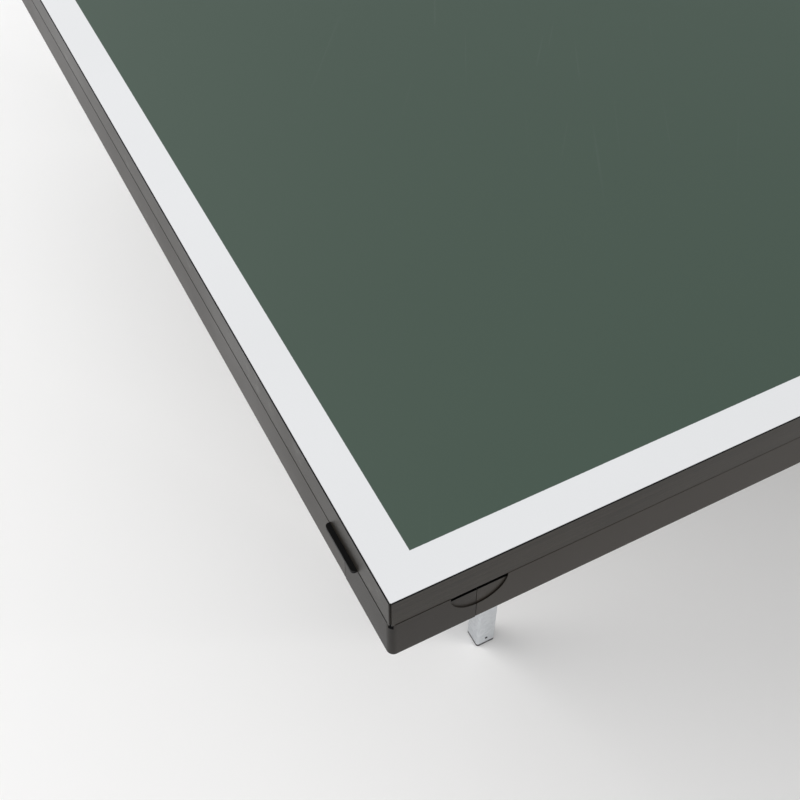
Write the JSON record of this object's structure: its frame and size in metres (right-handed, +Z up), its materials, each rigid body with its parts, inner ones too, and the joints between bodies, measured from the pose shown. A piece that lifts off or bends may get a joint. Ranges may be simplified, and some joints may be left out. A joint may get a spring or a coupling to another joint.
{
  "type": "ping pong table",
  "caption": "Roll-away ping pong table with two folding halves on a wheeled trolley, folding legs and a net.",
  "frame": {"origin": "on the floor at the middle of the table", "axes": "+X along the table's length, +Y across it, +Z up"},
  "size_m": [2.7452, 1.89, 0.9125],
  "materials": {
    "playing_board": "satin painted wood board, green with white lines",
    "edge_band": "satin edge band",
    "dark_frame": "satin powder coat, dark brown-grey",
    "corner_plastic": "fine-grained moulded plastic",
    "black_tab": "satin black moulding",
    "zinc_steel": "bright zinc plate, slightly blue",
    "bright_steel": "zinc-plated steel",
    "grey_plastic": "dark moulded plastic",
    "trolley_paint": "satin powder coat, dark brown-grey",
    "bush_plastic": "natural nylon",
    "net_cloth": "knotted mesh with a white top tape",
    "knob_plastic": "moulded black plastic",
    "wheel_rubber": "grey-black rubber tread on a moulded wheel"
  },
  "bodies": {
    "trolley": {"base_rails": "trolley_paint", "cross_tubes": "trolley_paint", "posts": "trolley_paint", "net_struts": "trolley_paint", "net_beam": "trolley_paint", "tube_end_caps": "grey_plastic", "pivot_blocks": "trolley_paint", "pivot_bushes": "bush_plastic", "link_stubs": "bright_steel", "castor_sockets": "bright_steel", "net_posts": "trolley_paint", "net": "net_cloth"},
    "left_half": {"left_board": "playing_board", "left_edge_bands": "edge_band", "left_side_rails": "dark_frame", "left_end_rails": "dark_frame", "left_corner_pieces": "corner_plastic", "left_corner_tabs": "black_tab", "left_runners": "dark_frame", "left_hinge_brackets": "zinc_steel", "left_hinge_pins": "bright_steel", "left_screws": "bright_steel"},
    "left_legs": {"left_leg_frame": "zinc_steel", "left_leg_heads": "grey_plastic", "left_leg_feet": "grey_plastic", "left_link_pins": "bright_steel"},
    "left_links": {"left_link_rods": "zinc_steel"},
    "left_plunger": {"left_lock_plunger": "knob_plastic"},
    "left_front_castor": {"left_front_castor_fork": "bright_steel", "left_front_castor_pins": "bright_steel"},
    "left_front_castor_wheel_body": {"left_front_castor_wheel": "wheel_rubber"},
    "left_rear_castor": {"left_rear_castor_fork": "bright_steel", "left_rear_castor_pins": "bright_steel"},
    "left_rear_castor_wheel_body": {"left_rear_castor_wheel": "wheel_rubber"},
    "left_pedal": {"left_brake_pedal": "knob_plastic"},
    "right_half": {"right_board": "playing_board", "right_edge_bands": "edge_band", "right_side_rails": "dark_frame", "right_end_rails": "dark_frame", "right_corner_pieces": "corner_plastic", "right_corner_tabs": "black_tab", "right_runners": "dark_frame", "right_hinge_brackets": "zinc_steel", "right_hinge_pins": "bright_steel", "right_screws": "bright_steel"},
    "right_legs": {"right_leg_frame": "zinc_steel", "right_leg_heads": "grey_plastic", "right_leg_feet": "grey_plastic", "right_link_pins": "bright_steel"},
    "right_links": {"right_link_rods": "zinc_steel"},
    "right_plunger": {"right_lock_plunger": "knob_plastic"},
    "right_front_castor": {"right_front_castor_fork": "bright_steel", "right_front_castor_pins": "bright_steel"},
    "right_front_castor_wheel_body": {"right_front_castor_wheel": "wheel_rubber"},
    "right_rear_castor": {"right_rear_castor_fork": "bright_steel", "right_rear_castor_pins": "bright_steel"},
    "right_rear_castor_wheel_body": {"right_rear_castor_wheel": "wheel_rubber"},
    "right_pedal": {"right_brake_pedal": "knob_plastic"},
    "front_knob": {"front_net_knob": "knob_plastic"},
    "rear_knob": {"rear_net_knob": "knob_plastic"}
  },
  "joints": [
    {"name": "left_fold", "type": "hinge", "parent": "trolley", "child": "left_half", "pos_m": [-0.34, 0, 0.71], "axis": [0, 1, 0], "range_deg": [0, 90]},
    {"name": "left_leg_fold", "type": "hinge", "parent": "left_half", "child": "left_legs", "pos_m": [-1.102, 0, 0.71], "axis": [0, -1, 0], "range_deg": [0, 90]},
    {"name": "left_link_turn", "type": "hinge", "parent": "trolley", "child": "left_links", "pos_m": [-0.35, 0, 0.66], "axis": [0, 1, 0], "range_deg": [0, 90]},
    {"name": "left_lock", "type": "slide", "parent": "trolley", "child": "left_plunger", "axis": [0, 1, 0], "range_m": [0, 0.006]},
    {"name": "left_front_castor_swivel", "type": "hinge", "parent": "trolley", "child": "left_front_castor", "pos_m": [-0.385, -0.5265, 0], "axis": [0, 0, 1], "continuous": true},
    {"name": "left_front_castor_spin", "type": "hinge", "parent": "left_front_castor", "child": "left_front_castor_wheel_body", "pos_m": [-0.413, -0.5265, 0.0375], "axis": [0, 1, 0], "continuous": true},
    {"name": "left_rear_castor_swivel", "type": "hinge", "parent": "trolley", "child": "left_rear_castor", "pos_m": [-0.385, 0.5265, 0], "axis": [0, 0, 1], "continuous": true},
    {"name": "left_rear_castor_spin", "type": "hinge", "parent": "left_rear_castor", "child": "left_rear_castor_wheel_body", "pos_m": [-0.413, 0.5265, 0.0375], "axis": [0, 1, 0], "continuous": true},
    {"name": "left_brake", "type": "hinge", "parent": "left_front_castor", "child": "left_pedal", "pos_m": [-0.435, -0.5265, 0.084], "axis": [0, -1, 0], "range_deg": [0, 15]},
    {"name": "right_fold", "type": "hinge", "parent": "trolley", "child": "right_half", "pos_m": [0.34, 0, 0.71], "axis": [0, -1, 0], "range_deg": [0, 90]},
    {"name": "right_leg_fold", "type": "hinge", "parent": "right_half", "child": "right_legs", "pos_m": [1.102, 0, 0.71], "axis": [0, 1, 0], "range_deg": [0, 90]},
    {"name": "right_link_turn", "type": "hinge", "parent": "trolley", "child": "right_links", "pos_m": [0.35, 0, 0.66], "axis": [0, -1, 0], "range_deg": [0, 90]},
    {"name": "right_lock", "type": "slide", "parent": "trolley", "child": "right_plunger", "axis": [0, 1, 0], "range_m": [0, 0.006]},
    {"name": "right_front_castor_swivel", "type": "hinge", "parent": "trolley", "child": "right_front_castor", "pos_m": [0.385, -0.5265, 0], "axis": [0, 0, 1], "continuous": true},
    {"name": "right_front_castor_spin", "type": "hinge", "parent": "right_front_castor", "child": "right_front_castor_wheel_body", "pos_m": [0.413, -0.5265, 0.0375], "axis": [0, 1, 0], "continuous": true},
    {"name": "right_rear_castor_swivel", "type": "hinge", "parent": "trolley", "child": "right_rear_castor", "pos_m": [0.385, 0.5265, 0], "axis": [0, 0, 1], "continuous": true},
    {"name": "right_rear_castor_spin", "type": "hinge", "parent": "right_rear_castor", "child": "right_rear_castor_wheel_body", "pos_m": [0.413, 0.5265, 0.0375], "axis": [0, 1, 0], "continuous": true},
    {"name": "right_brake", "type": "hinge", "parent": "right_front_castor", "child": "right_pedal", "pos_m": [0.435, -0.5265, 0.084], "axis": [0, 1, 0], "range_deg": [0, 15]},
    {"name": "front_knob_turn", "type": "hinge", "parent": "trolley", "child": "front_knob", "pos_m": [0, -0.93, 0.69], "axis": [0, 1, 0], "continuous": true},
    {"name": "rear_knob_turn", "type": "hinge", "parent": "trolley", "child": "rear_knob", "pos_m": [0, 0.93, 0.69], "axis": [0, 1, 0], "continuous": true}
  ],
  "couplings": [
    {"joint": "left_leg_fold", "follows": "left_fold", "ratio": 1},
    {"joint": "left_link_turn", "follows": "left_fold", "ratio": 1},
    {"joint": "right_leg_fold", "follows": "right_fold", "ratio": 1},
    {"joint": "right_link_turn", "follows": "right_fold", "ratio": 1}
  ]
}
